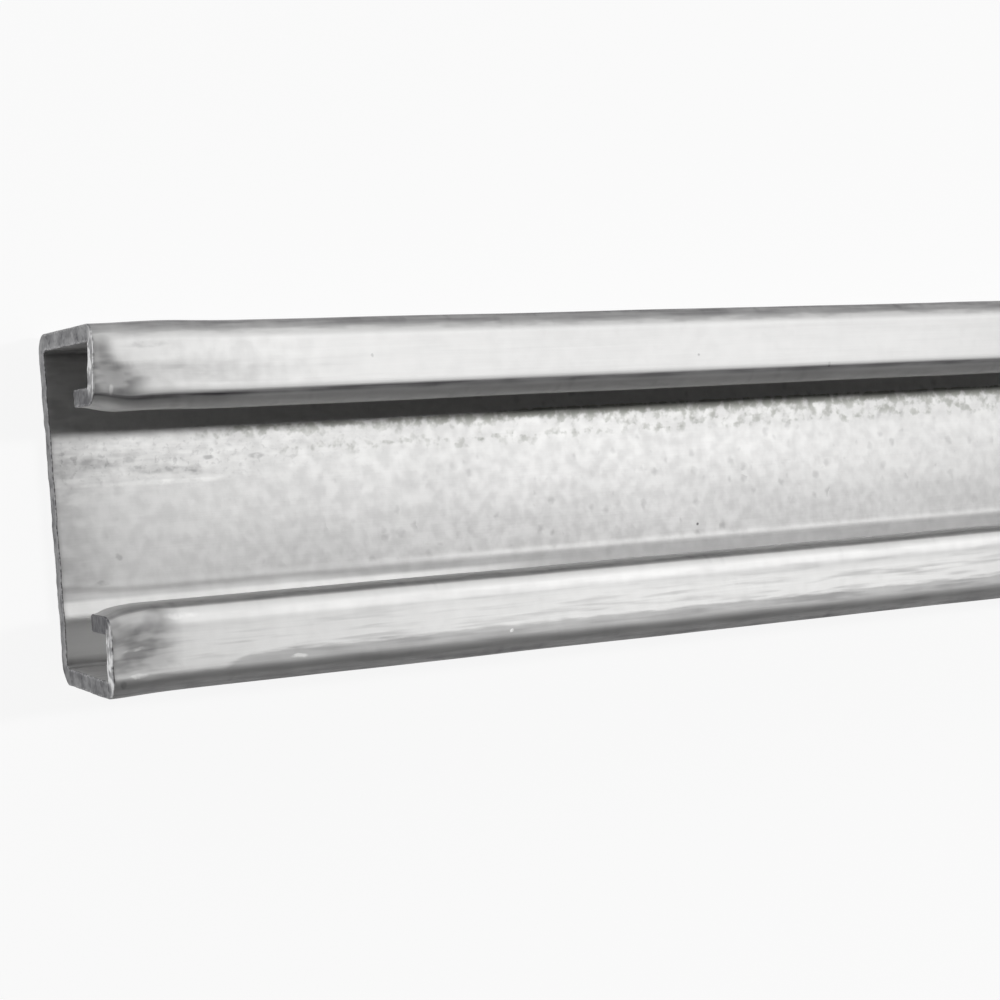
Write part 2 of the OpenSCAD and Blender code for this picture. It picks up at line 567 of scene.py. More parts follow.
# Two rows of flecks along the inside of the back; the first runs along the edge of the lip's shadow and is
# partly painted shade that widens that edge
FIRST_ROW_FROM = (7.1 * MM, 8.0 * MM)
FIRST_ROW_TO = (8.7 * MM, (0.3 * MM, 50 * MM, 70 * MM))
FIRST_ROW_FADE = 0.5 * MM
FIRST_ROW_STARTS = (10 * MM, 24 * MM)
FIRST_ROW_SHARE = (0.85, (0.15, 40 * MM, 55 * MM))
SECOND_ROW_AT = (5.6 * MM, (0.6 * MM, 60 * MM, 85 * MM))
SECOND_ROW_WAVES = ((0.25 * MM, 11 * MM, 0.3), (0.2 * MM, 4.7 * MM, 1.4), (0.12 * MM, 2.3 * MM, 3.0))
SECOND_ROW_WIDTH = 0.9 * MM
SECOND_ROW_STARTS = (20 * MM, 34 * MM)
SECOND_ROW_SHARE = (0.64, (0.1, 70 * MM, 90 * MM))

# Smears, lines and bands along the inside of the back: a painted highlight along the roll ridge, painted
# light under the lower lip near the cut, and painted shade that darkens the back towards its lower side,
# beside the ridge and where the lamp's glare falls
SCUFF_AT = (5.8 * MM, 3.0 * MM)
SCUFF_SHARE = (1, (-0.6, 16 * MM, 36 * MM))
SCUFF_ENDS = (36 * MM, 55 * MM)
ROLL_RIDGE_HIGHLIGHT = (0.8, -9.3 * MM, 0.35 * MM)
ROLL_RIDGE_HIGHLIGHT_STARTS = (36 * MM, 60 * MM)
UNDER_LIP_TO = (-11.2 * MM, -10.6 * MM)
UNDER_LIP_ENDS = (40 * MM, 75 * MM)
UNDER_LIP_PAINTED_LIGHT = 0.3
# The back's painted shade: darker towards the lower side, in a line and a band beside the roll ridge, and
# where the lamp's glare falls
BACK_SLOPE = (-11 * MM, 5 * MM)
GREY_LINE = (0.3, -10.1 * MM, 0.35 * MM)
GREY_LINE_STARTS = (2 * MM, 14 * MM)
GREY_BAND = 0.7
GREY_BAND_TO = (-10.2 * MM, -9.5 * MM)
GLARE = (0.25, 7 * MM, 3 * MM)
GLARE_STARTS = (70 * MM, 90 * MM)


def back_zones(along, across, inside_back):
    """Marks along the inside of the back: flecks, partly painted shade at the edge of the lip's shadow,
    smears, the painted highlight of the roll line with painted shade beside it, painted light under the lower
    lip, and painted shade towards the lower side and under the glare.
    """
    away = rise(along, *ROLL_MARKS_CHANGE)
    # The first row is partly painted shade that widens the edge of the lip's shadow
    row_to = steps(along, *FIRST_ROW_TO)
    first_row = between(across, FIRST_ROW_FROM, (row_to, row_to + FIRST_ROW_FADE))
    first_row = first_row * rise(along, *FIRST_ROW_STARTS) * steps(along, *FIRST_ROW_SHARE)
    row_at = steps(along, *SECOND_ROW_AT) + waves(along, *SECOND_ROW_WAVES)
    second_row = bell(across, row_at, SECOND_ROW_WIDTH)
    second_row = second_row * rise(along, *SECOND_ROW_STARTS) * steps(along, *SECOND_ROW_SHARE)
    flecks_and_shadow_edge = np.maximum(first_row, second_row)
    scuffed = bell(across, *SCUFF_AT) * steps(along, *SCUFF_SHARE) * fall(along, *SCUFF_ENDS)
    # A painted highlight along the roll ridge, and painted light under the lower lip near the cut
    roll_ridge_highlight = swell(across, *ROLL_RIDGE_HIGHLIGHT) * rise(along, *ROLL_RIDGE_HIGHLIGHT_STARTS)
    under_lip = fall(across, *UNDER_LIP_TO) * fall(along, *UNDER_LIP_ENDS)
    # Painted shade over the roll groove, in a band below it, towards the lower side and where the lamp's
    # glare falls
    grey_line = swell(across, *GREY_LINE) * (1 - away) * rise(along, *GREY_LINE_STARTS)
    grey_band = GREY_BAND * fall(across, *GREY_BAND_TO) * away * (1 - under_lip)
    glare = swell(across, *GLARE) * rise(along, *GLARE_STARTS)
    painted_dimming = fall(across, *BACK_SLOPE) * (1 - under_lip) + grey_line + grey_band + glare
    painted_light = roll_ridge_highlight + UNDER_LIP_PAINTED_LIGHT * under_lip
    return [inside_back * zone for zone in (flecks_and_shadow_edge, scuffed, painted_light, painted_dimming)]


# Painted highlights on the bends beside the slot, in shares of the bend's arc past the flat of the lip
UPPER_PAINTED_HIGHLIGHT = 0.45
UPPER_PAINTED_HIGHLIGHT_PLACE = ((-0.03, 0.08), (0.14, 0.22))
LOWER_PAINTED_HIGHLIGHT = 0.7
LOWER_PAINTED_HIGHLIGHT_PLACE = ((0.2, 0.35), (0.5, 0.62))

# How far painted shade takes the lamp's highlight down on the lips, on the upper lip's outer edge and on the
# lower bend beside the slot, and how even the zinc on the lips is
UPPER_FADE = (0.16, (0.72, 8 * MM, 60 * MM))
LOWER_FADE = 0.29
UPPER_EDGE_FADE = (0.2, LIP_FROM + 0.3 * MM, 0.6 * MM)
SLOT_FADE = (0.33, (0.35, 55 * MM, 90 * MM))
SLOT_FADE_AT = (0.05, 0.2)
UPPER_PLAIN_GROWS = (10 * MM, 40 * MM)
LOWER_PLAIN = 0.6

# Chalky zinc in the lower near corner, with painted light in its shade, and on the lower outer bend; the grey
# at the near end of the back, partly smudge and partly painted shade; and where the spots are
CHALKY_TO = (-14.2 * MM, -12.4 * MM)
CHALKY_ENDS = (5 * MM, 11 * MM)
CHALKY_PAINTED_LIGHT = 0.6
CHALKY_BEND = 0.75
CHALKY_BEND_PLACE = ((0.8 * MM, 1.6 * MM), (2.8 * MM, 5.0 * MM))
END_GREY = (0.26, (0.16, -6 * MM, 2 * MM))
END_GREY_FROM = (-12 * MM, -9 * MM)
END_GREY_REACH = 5 * MM
SPOTTED = (-0.2, (0.5, 15 * MM, 70 * MM))
UNSPOTTED = 0.7
UNSPOTTED_TO = (-9.6 * MM, -8.6 * MM)
SPANGLED = 0.5
LIP_UNSPANGLED = 0.4

# Painted shade on the cut ends of the returns and of the lower flange: how dark they are
UPPER_RETURN_CUT = 0.9
LOWER_RETURN_CUT = 2.2
FLANGE_CUT = 0.5


def add_zones(mesh, strip, skin_count):
    """Masks that the finish reads, mostly from 0 to 1, by each vertex's place on the flat strip."""
    along, across, out = strip.T
    far = np.abs(across)
    upper = across > 0
    outside = out > 0
    on_skin = np.arange(len(far)) < skin_count
    lip = on_lip(across) * outside
    inside_back = fall(far, BACK_TO - MM, BACK_TO) * ~outside
    before_lip = LIP_FROM - far
    past_lip = (far - LIP_TO) / BEND_ARC
    painted_dull, edge = bend_zones(along, across, outside)
    smudge_and_shade, streaky = lip_zones(along, across, outside)
    flecks_and_shadow_edge, scuffed, back_painted_light, painted_dimming = back_zones(along, across, inside_back)
    # Painted highlights on the bends beside the slot
    upper_painted_highlight = UPPER_PAINTED_HIGHLIGHT * between(past_lip, *UPPER_PAINTED_HIGHLIGHT_PLACE)
    lower_painted_highlight = LOWER_PAINTED_HIGHLIGHT * between(past_lip, *LOWER_PAINTED_HIGHLIGHT_PLACE)
    # Painted shade that tones down the lamp's highlight on the lips and on the lower bend beside the slot
    lip_fade = lip * np.where(upper, steps(along, *UPPER_FADE), LOWER_FADE)
    lip_fade = lip_fade + upper * outside * swell(far, *UPPER_EDGE_FADE)
    slot_fade = outside * ~upper * steps(along, *SLOT_FADE) * bell(past_lip, *SLOT_FADE_AT)
    corner = inside_back * fall(across, *CHALKY_TO) * fall(along, *CHALKY_ENDS)
    # Painted light in the shade of the lower near corner
    back_painted_light = back_painted_light + CHALKY_PAINTED_LIGHT * corner
    chalky = corner + CHALKY_BEND * outside * ~upper * between(before_lip, *CHALKY_BEND_PLACE)
    # The near end of the back is darker, partly smudge and partly painted shade
    end_grey = steps(across, *END_GREY) * rise(across, *END_GREY_FROM) * bell(along, 0, END_GREY_REACH)
    spotted = steps(along, *SPOTTED) - UNSPOTTED * fall(across, *UNSPOTTED_TO)
    plain = lip * np.where(upper, rise(along, *UPPER_PLAIN_GROWS), LOWER_PLAIN)
    zones = {
        "painted_dull": painted_dull,
        "edge": edge,
        "painted_light": np.where(outside, np.where(upper, upper_painted_highlight, lower_painted_highlight), back_painted_light),
        "chalky": chalky,
        "plain": plain,
        "smudge_and_shade": smudge_and_shade + inside_back * end_grey,
        "streaky": streaky,
        "spangled": np.clip(SPANGLED - LIP_UNSPANGLED * lip + inside_back * spotted, 0, 1),
        "flecks_and_shadow_edge": np.clip(flecks_and_shadow_edge, 0, 1),
        "scuffed": scuffed,
        "painted_dimming": painted_dimming + lip_fade + slot_fade,
    }
    zones = {name: values * on_skin for name, values in zones.items()}
    # Painted shade on the cut ends of the returns and the lower flange, a painted highlight on the lips' cut
    # ends and painted glints along the cut edges
    return_cut = rise(far, LIP_TO, RETURN_FROM) * np.where(upper, UPPER_RETURN_CUT, LOWER_RETURN_CUT)
    flange_cut = ~upper * between(far, (BACK_TO, FLANGE_FROM), (FLANGE_TO, LIP_FROM))
    zones["lip_cut_highlight"] = on_lip(across)
    zones["cut_shade"] = return_cut + FLANGE_CUT * flange_cut
    zones["burr_glint"] = on_skin
    for name, values in zones.items():
        mesh.attributes.new(name, "FLOAT", "POINT").data.foreach_set("value", values.astype(np.float32))


def place_object(name, data):
    """Puts new object data into the scene, at the origin."""
    made = bpy.data.objects.new(name, data)
    bpy.context.scene.collection.objects.link(made)
    return made


class Nodes:
    """Adds nodes to one tree and joins their sockets."""

    def __init__(self, tree):
        self.tree = tree
        tree.nodes.clear()

    def add(self, kind, inputs=None, **settings):
        """Adds a node; an input is set to a value or joined to another node's output socket."""
        made = self.tree.nodes.new(kind if kind.startswith("Node") else "ShaderNode" + kind)
        for name, value in settings.items():
            setattr(made, name, value)
        for name, value in (inputs or {}).items():
            if isinstance(value, bpy.types.NodeSocket):
                self.tree.links.new(value, made.inputs[name])
            else:
                made.inputs[name].default_value = value
        return made

    def math(self, operation, *values, clamp=False):
        """The output of a Math node with these values or sockets."""
        made = self.add("Math", dict(enumerate(values)), operation=operation, use_clamp=clamp)
        return made.outputs[0]

    def vector(self, operation, *values):
        """The vector output of a Vector Math node with these values or sockets."""
        return self.add("VectorMath", dict(enumerate(values)), operation=operation).outputs["Vector"]

    def product(self, *values):
        """The product of these values and sockets."""
        return reduce(partial(self.math, "MULTIPLY"), values)

    def total(self, *values):
        """The sum of these values and sockets."""
        return reduce(partial(self.math, "ADD"), values)

    def ramp(self, value, low, high, start=0.0, end=1.0):
        """A smooth step from start to end as value goes from low to high."""
        made = self.add(
            "MapRange",
            {"Value": value, "From Min": low, "From Max": high, "To Min": start, "To Max": end},
            interpolation_type="SMOOTHSTEP",
        )
        return made.outputs["Result"]

    def mix(self, share, first, second):
        """A colour between two colours: a Mix node's inputs 6 and 7, given at its output 2."""
        return self.add("Mix", {0: share, 6: first, 7: second}, data_type="RGBA").outputs[2]

    def zone(self, name):
        """One of the mesh's masks."""
        return self.add("Attribute", attribute_name=name).outputs["Fac"]

    def pattern(self, group, *values):
        """The output of a pattern's node group, with values for its inputs in their order."""
        return self.add("Group", dict(enumerate(values)), node_tree=group).outputs[0]


def new_pattern(name, *inputs):
    """An empty node group for a pattern with a vector, float inputs and one float output."""
    tree = bpy.data.node_groups.new(name, "ShaderNodeTree")
    tree.interface.new_socket("Vector", in_out="INPUT", socket_type="NodeSocketVector")
    for label in inputs:
        tree.interface.new_socket(label, in_out="INPUT", socket_type="NodeSocketFloat")
    tree.interface.new_socket("Value", in_out="OUTPUT", socket_type="NodeSocketFloat")
    nodes = Nodes(tree)
    return tree, nodes, nodes.add("NodeGroupInput").outputs


def stretched(nodes, vector, size, stretch):
    """The vector in units of the pattern's size, with the pattern drawn out along the channel by stretch."""
    length = nodes.math("MULTIPLY", size, stretch)
    scale = nodes.add("CombineXYZ", {"X": length, "Y": size, "Z": size}).outputs[0]
    return nodes.vector("DIVIDE", vector, scale)


# The two patterns' noise, the range of it that each spreads out, and how far a share lifts the flecks
MOTTLE_NOISE = {"Scale": 1.0, "Detail": 2.0, "Roughness": 0.5}
MOTTLE_RANGE = (0.28, 0.72)
FLECK_NOISE = {"Scale": 1.0, "Detail": 2.5, "Roughness": 0.55, "Distortion": 0.25}
FLECK_RANGE = (0.62, 0.80)
FLECK_LIFT = 0.3


def mottle_pattern():
    """Cloudy patches of a size across the strip and a stretch along it, as a value from 0 to 1."""
    tree, nodes, inputs = new_pattern("mottle", "Size", "Stretch")
    vector = stretched(nodes, inputs["Vector"], inputs["Size"], inputs["Stretch"])
    noise = nodes.add("TexNoise", {"Vector": vector, **MOTTLE_NOISE}).outputs["Fac"]
    nodes.add("NodeGroupOutput", {"Value": nodes.ramp(noise, *MOTTLE_RANGE)})
    return tree


def fleck_pattern():
    """Separate ragged flecks, such as zinc crystals or torn pits: the peaks of a fine noise, as a mask."""
    tree, nodes, inputs = new_pattern("flecks", "Size", "Stretch", "Share")
    vector = stretched(nodes, inputs["Vector"], inputs["Size"], inputs["Stretch"])
    noise = nodes.add("TexNoise", {"Vector": vector, **FLECK_NOISE}).outputs["Fac"]
    peak = nodes.total(noise, nodes.product(inputs["Share"], FLECK_LIFT))
    nodes.add("NodeGroupOutput", {"Value": nodes.ramp(peak, *FLECK_RANGE)})
    return tree


# Colours of the finish
ZINC_PALE = (0.97, 0.968, 0.958, 1)
ZINC_DARK = (0.074, 0.07, 0.077, 1)
ZINC_FLECK = (0.28, 0.29, 0.25, 1)
STEEL_PALE = (0.80, 0.80, 0.80, 1)
STEEL_DARK = (0.10, 0.10, 0.107, 1)

# Patches: their size across the strip, in millimetres, and their stretch along it
CLOUDS = (6.0, 2.5)
GRAIN = (1.8, 0.9)
LINES = (0.22, 90.0)
STREAKS = (0.9, 16.0)
STREAK_BREAKS = (1.6, 8.0)
SMEAR_SPREADS = (1.3, 1.8)
SMEAR_DRAGS = (0.6, 9.0)
PAINTED_DULL_STREAKS = (0.7, 12.0)
SMUDGE_AND_SHADE_BLOTCHES = (1.6, 2.4)
SPOT_CLUSTERS = (6.0, 1.6)
MARK_PATCHES = (0.9, 1.4)
CUT_BLOTCHES = (2.0, 0.8)
CUT_TEARS = (0.5, 2.0)

# Flecks: their size, their stretch and the share of the noise that shows
ROW_CORES = (0.8, 0.85, 0.4)
SCUFF_FLECKS = (0.7, 1.1, 0.3)
CUT_PITS = (1.1, 0.8, 0.35)

# In the values below, a pair is a range of a pattern or zone that a smooth step covers, and four numbers are
# such a range with the values at its two ends.

# How the patches are sharpened and shared out
UNEVEN = (0, 1, 1.0, 0.3)
STREAK_RANGE = (0.35, 0.95)
STREAK_BREAK_RANGE = (0.1, 0.7)
SMEAR_SPREAD = 0.6
SMEAR_SHIFT = -0.5
SPOT_SHARE = (0.2, 0.75, 0.3, 1.2)

# How far patches shift the sides of the rows of flecks and the edge of the bends' painted shade, with the
# patches' size and stretch, and how the rows, their cores and the edge are then sharpened
ROW_RAGGED = (0.7, 1.3, 1.0)
ROW_RANGE = (0.4, 1.0)
ROW_SHARE = (0.5, 0.95, 0.42, 0.7)
CORE_RANGE = (0.5, 0.8)
CORE_SHARE = 0.5
EDGE_RAGGED = (0.15, 0.7, 7.0)
EDGE_RANGE = (0.39, 0.61)

# The zinc's tone, and the part of it that each effect takes away, with painted shade and painted light among
# the effects
ZINC_TONE = 0.92
PAINTED_DULL_LOSS = (0, 1, 0.48, 0.62)
SMUDGE_AND_SHADE_LOSS = (0.1, 0.9, 0.30, 0.62)
GRAIN_LOSS = (0.1, 0.5, 0.02, 0.05)
MARK_LOSS = (0.1, 0.8, 0.5, 1.4)
CLOUD_LOSS = 0.05
LINE_LOSS = 0.012
SPOT_LOSS = 0.15
STREAK_LOSS = 0.18
SMEAR_LOSS = 0.24
SCUFF_FLECK_LOSS = 0.18
PAINTED_DIMMING_LOSS = 0.25
PAINTED_LIGHT_LOSS = -0.12

# The zinc's roughness and what each effect adds to it, the height of its grain, and the heights of the lines
# and spots as parts of that
ZINC_ROUGH = 0.58
WORN_ROUGH = 0.05
GRAIN_ROUGH = 0.03
GRAIN_HEIGHT = 0.005 * MM
LINE_HEIGHT = 0.4
SPOT_HEIGHT = -0.6

# The tone of the cut steel and what each effect adds to it, with painted highlights and painted shade among
# the effects, its roughness, and the height of its tears
CUT_TONE = 0.05
BLOTCH_GAIN = 0.22
TEAR_GAIN = 0.10
LIP_CUT_HIGHLIGHT = (0.2, 0.8, 0.2, 0.9)
CUT_SHADE_GAIN = -0.2
BURR_GLINT = (0.3, 0.9, 0.0, 0.3)
PIT_GAIN = -0.15
CUT_ROUGH = (0, 1, 0.42, 0.58)
TEAR_HEIGHT = 3 * GRAIN_HEIGHT

# Handling marks on the near part, inside the back and on the lips: place along and across, half length and
# half width, in millimetres, and how much darker they are, or paler where it is below zero
BACK_MARKS = (
    (17.3, 3.5, 1.8, 0.45, 0.14),
    (19.3, 5.2, 1.0, 0.4, 0.20),
    (25.5, 5.1, 1.3, 0.5, 0.20),
    (9.4, 5.4, 0.9, 0.5, 0.12),
    (13.0, 2.6, 12.0, 0.4, -0.07),
    (4.2, 5.2, 5.0, 1.0, 0.12),
    (8.0, 4.4, 3.0, 0.8, 0.08),
    (12.2, 4.2, 3.6, 0.8, 0.13),
    (16.0, 3.9, 3.0, 0.6, 0.13),
    (14.5, 5.6, 2.6, 0.7, 0.08),
    (7.0, 7.1, 6.5, 1.0, -0.06),
    (7.2, -6.0, 0.6, 0.6, 0.12),
    (5.0, -9.0, 1.2, 0.4, 0.10),
    (89.2, -7.8, 0.3, 0.3, 0.35),
)
LIP_MARKS = (
    (33.5, 40.6, 0.25, 0.25, 0.30),
    (78.9, 41.9, 0.22, 0.22, 0.22),
    (99.3, 43.4, 0.3, 0.25, 0.20),
    (2.2, 43.3, 0.35, 0.45, -0.18),
    (5.9, 38.7, 3.2, 0.5, 0.10),
    (83.5, -45.8, 0.5, 0.35, -0.25),
    (2.4, -42.6, 1.5, 1.0, 0.05),
    (3.0, -40.2, 2.2, 0.6, 0.05),
    (1.2, -37.9, 0.5, 0.4, 0.12),
    (2.8, -41.2, 1.8, 0.25, -0.22),
    (2.8, -38.4, 1.2, 0.3, -0.25),
    (8.0, -43.7, 2.8, 0.3, -0.08),
    (22.0, -38.6, 1.3, 0.3, -0.22),
    (49.6, -38.9, 0.28, 0.22, -0.35),
)

# How the marks fade towards their outlines, and how far a noise makes these wander, in millimetres
MARK_FADE = (0.4, 1.0, 1.0, 0.0)
MARK_NOISE = {"Scale": 0.7, "Detail": 2.0}
MARK_WANDER = (0.9, 0.5, 0.0)

# The spots on the zinc: how far apart they lie across the strip, in millimetres, how much closer they are
# along it, and how far a noise makes them wander. Chance sets how far each spot reaches in its cell.
SPOT_SPACING = 2.4
SPOT_STRETCH = 0.85
SPOT_NOISE = {"Scale": 1.0, "Detail": 1.0}
SPOT_WANDER = (0.9, 0.9, 0.0)
SPOT_REACH = (0.2, 1.0, 0.0, 0.38)
SPOT_FADE = (0.0, 0.30)


def new_material(name):
    """A material with an empty tree."""
    made = bpy.data.materials.new(name)
    made.use_nodes = True
    return made, Nodes(made.node_tree)


def set_surface(nodes, colour, metal, rough, height, bump_depth):
    """Ends a material's tree with a Principled shader and bumps."""
    bump = nodes.add("Bump", {"Height": height, "Strength": 1.0, "Distance": bump_depth})
    shader = nodes.add(
        "BsdfPrincipled",
        {"Base Color": colour, "Metallic": metal, "Roughness": rough, "Normal": bump.outputs["Normal"]},
    )
    nodes.add("OutputMaterial", {"Surface": shader.outputs[0]})


def mark_mask(nodes, strip, place, size):
    """1 inside an oval of this half length and half width on the strip's map, fading to 0 at its edge."""
    scaled = nodes.vector("DIVIDE", nodes.vector("SUBTRACT", strip, (*place, 0)), (*size, 1))
    distance = nodes.add("VectorMath", {0: scaled}, operation="LENGTH").outputs["Value"]
    return nodes.ramp(distance, *MARK_FADE)


def handling_marks(nodes, strip):
    """The sum of the handling marks, each on the face of the strip that it lies on, with ragged outlines."""
    wander = nodes.add("TexNoise", {"Vector": strip, **MARK_NOISE}).outputs["Color"]
    bent = nodes.vector("MULTIPLY_ADD", wander, MARK_WANDER, strip)
    strip = nodes.vector("ADD", bent, [-part / 2 for part in MARK_WANDER])
    outer_side = (HALF_STRIP - SLIT_R) / MM
    slit_length = (STRIP_T - 2 * SLIT_R + 2 * QUARTER * SLIT_R) / MM
    marks = []
    for listed, middle, way in ((BACK_MARKS, 3 * outer_side + slit_length, -1), (LIP_MARKS, outer_side, 1)):
        for along, across, length, width, darker in listed:
            mask = mark_mask(nodes, strip, (along, middle + way * across), (length, width))
            marks.append(nodes.product(mask, darker))
    return nodes.total(*marks)


def zinc_spots(nodes, strip):
    """Separate soft spots of unequal size, at most one to each cell of the strip's map, as a mask."""
    wander = nodes.add("TexNoise", {"Vector": strip, **SPOT_NOISE}).outputs["Color"]
    bent = nodes.vector("MULTIPLY_ADD", wander, SPOT_WANDER, strip)
    place = stretched(nodes, bent, SPOT_SPACING, SPOT_STRETCH)
    cells = nodes.add("TexVoronoi", {"Vector": place, "Scale": 1.0}, voronoi_dimensions="2D").outputs
    chance = nodes.add("SeparateColor", {0: cells["Color"]}).outputs["Red"]
    reach = nodes.ramp(chance, *SPOT_REACH)
    return nodes.ramp(nodes.math("SUBTRACT", reach, cells["Distance"]), *SPOT_FADE)


def zinc_skin(mottle, flecks):
    """Satin zinc: pale, with clouds, flecks and rolling streaks, with painted shade on the outer bends,
    returns and pockets, and painted highlights and painted light in places.

    tone runs from 0, dark, to 1, pale, and each effect takes a part of it away or adds to it.
    """
    material, nodes = new_material("zinc_skin")
    strip = nodes.add("UVMap", uv_map="strip").outputs["UV"]
    painted_dull, painted_light, smudge_and_shade = map(nodes.zone, ("painted_dull", "painted_light", "smudge_and_shade"))
    streaky, scuffed, painted_dimming = map(nodes.zone, ("streaky", "scuffed", "painted_dimming"))
    spangled, flecks_and_shadow_edge, chalky = map(nodes.zone, ("spangled", "flecks_and_shadow_edge", "chalky"))

    def patches(sizes):
        return nodes.pattern(mottle, strip, *sizes)

    def ragged(zone, shift, *sizes):
        centred = nodes.math("SUBTRACT", zone, shift / 2)
        return nodes.math("MULTIPLY_ADD", patches(sizes), shift, centred)

    uneven = nodes.ramp(nodes.zone("plain"), *UNEVEN)
    clouds = nodes.product(patches(CLOUDS), uneven)
    grain = nodes.product(patches(GRAIN), uneven)
    lines = patches(LINES)
    streak_breaks = nodes.ramp(patches(STREAK_BREAKS), *STREAK_BREAK_RANGE)
    streaks = nodes.product(nodes.ramp(patches(STREAKS), *STREAK_RANGE), streak_breaks)
    spreads = nodes.product(patches(SMEAR_SPREADS), SMEAR_SPREAD)
    smears = nodes.total(spreads, nodes.product(patches(SMEAR_DRAGS), 1 - SMEAR_SPREAD), SMEAR_SHIFT)
    clusters = nodes.ramp(patches(SPOT_CLUSTERS), *SPOT_SHARE)
    crystals = nodes.product(zinc_spots(nodes, strip), spangled, clusters)
    # Rows of flecks, the first partly painted shade along the edge of the lip's shadow
    row = ragged(flecks_and_shadow_edge, *ROW_RAGGED)
    row_flecks = nodes.product(nodes.ramp(row, *ROW_RANGE), nodes.ramp(flecks_and_shadow_edge, *ROW_SHARE))
    cores = nodes.product(nodes.pattern(flecks, strip, *ROW_CORES), nodes.ramp(row, *CORE_RANGE), CORE_SHARE)
    row_flecks = nodes.math("MAXIMUM", row_flecks, cores)
    # The bends' painted shade, with a ragged edge on the outer bends
    edge = ragged(nodes.zone("edge"), *EDGE_RAGGED)
    painted_dulled = nodes.product(painted_dull, nodes.ramp(edge, *EDGE_RANGE))

    # Painted shade on the bends and pockets, or the smudges with their painted shade, whichever takes more
    shade_and_smudge = nodes.math(
        "MAXIMUM",
        nodes.product(painted_dulled, nodes.ramp(patches(PAINTED_DULL_STREAKS), *PAINTED_DULL_LOSS)),
        nodes.product(smudge_and_shade, nodes.ramp(patches(SMUDGE_AND_SHADE_BLOTCHES), *SMUDGE_AND_SHADE_LOSS)),
    )
    lost = nodes.total(
        shade_and_smudge,
        nodes.product(clouds, CLOUD_LOSS),
        nodes.product(grain, nodes.ramp(spangled, *GRAIN_LOSS)),
        nodes.product(lines, LINE_LOSS),
        nodes.product(crystals, SPOT_LOSS),
        nodes.product(streaks, streaky, STREAK_LOSS),
        nodes.product(smears, scuffed, SMEAR_LOSS),
        nodes.product(nodes.pattern(flecks, strip, *SCUFF_FLECKS), scuffed, SCUFF_FLECK_LOSS),
        nodes.product(painted_dimming, PAINTED_DIMMING_LOSS),
        nodes.product(painted_light, PAINTED_LIGHT_LOSS),
        nodes.product(handling_marks(nodes, strip), nodes.ramp(patches(MARK_PATCHES), *MARK_LOSS)),
    )
    tone = nodes.math("SUBTRACT", ZINC_TONE, lost, clamp=True)
    colour = nodes.mix(tone, ZINC_DARK, ZINC_PALE)
    colour = nodes.mix(row_flecks, colour, ZINC_FLECK)
    rough = nodes.total(
        ZINC_ROUGH,
        nodes.product(painted_dulled, WORN_ROUGH),
        nodes.product(smudge_and_shade, WORN_ROUGH),
        nodes.product(grain, GRAIN_ROUGH),
    )
    metal = nodes.math("SUBTRACT", 1.0, chalky)
    height = nodes.total(grain, nodes.product(lines, LINE_HEIGHT), nodes.product(crystals, SPOT_HEIGHT))
    set_surface(nodes, colour, metal, rough, height, GRAIN_HEIGHT)
    return material


def cut_steel(mottle, flecks):
    """The sheared ends: dark torn steel with pits, with painted highlights on the lips' ends and along the
    burrs, and painted shade on the ends of the returns and the lower flange.
    """
    material, nodes = new_material("cut_steel")
    strip = nodes.add("UVMap", uv_map="strip").outputs["UV"]
    blotch = nodes.pattern(mottle, strip, *CUT_BLOTCHES)
    torn = nodes.pattern(mottle, strip, *CUT_TEARS)
    pits = nodes.pattern(flecks, strip, *CUT_PITS)
    bright = nodes.total(
        nodes.product(blotch, BLOTCH_GAIN),
        nodes.product(torn, TEAR_GAIN),
        # Painted highlight on the lips' ends, painted shade on the returns' and lower flange's ends, and
        # painted glints along the burrs
        nodes.product(nodes.zone("lip_cut_highlight"), nodes.ramp(blotch, *LIP_CUT_HIGHLIGHT)),
        nodes.product(nodes.zone("cut_shade"), CUT_SHADE_GAIN),
        nodes.product(nodes.zone("burr_glint"), nodes.ramp(torn, *BURR_GLINT)),
        nodes.product(pits, PIT_GAIN),
    )
    colour = nodes.mix(nodes.math("ADD", bright, CUT_TONE, clamp=True), STEEL_DARK, STEEL_PALE)
    rough = nodes.ramp(torn, *CUT_ROUGH)
    height = nodes.total(torn, blotch, nodes.product(pits, -1.0))
    set_surface(nodes, colour, 1.0, rough, height, TEAR_HEIGHT)
    return material


# The channel and its finish
channel = place_object("channel", channel_mesh())
mottle = mottle_pattern()
flecks = fleck_pattern()
channel.data.materials.append(zinc_skin(mottle, flecks))
channel.data.materials.append(cut_steel(mottle, flecks))
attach(channel, "root")
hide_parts("strut_channel")

# The floor and the light
FLOOR_SIZE = 40.0
FLOOR_COLOUR = (0.92, 0.92, 0.92, 1)
FLOOR_WHITE_SHARE = 0.90
KEY_TOWARDS = Vector((0.53, 0.16, 1.0)).normalized()
KEY_AIM = Vector((LOW.x + 60 * MM, 0, 10 * MM))
KEY_DISTANCE = 0.9
KEY_LENGTH = 0.35
KEY_WIDTH = 0.05
KEY_POWER = 3.3
SKY_PALE = 0.72
SKY_SIDE = 0.25
SKY_SIDE_RANGE = (0.2, 0.8)
SKY_DARK_TOWARDS = Vector((0.1, -0.35, 1.0)).normalized()
SKY_DARK_WIDTH = (math.radians(72), math.radians(52))


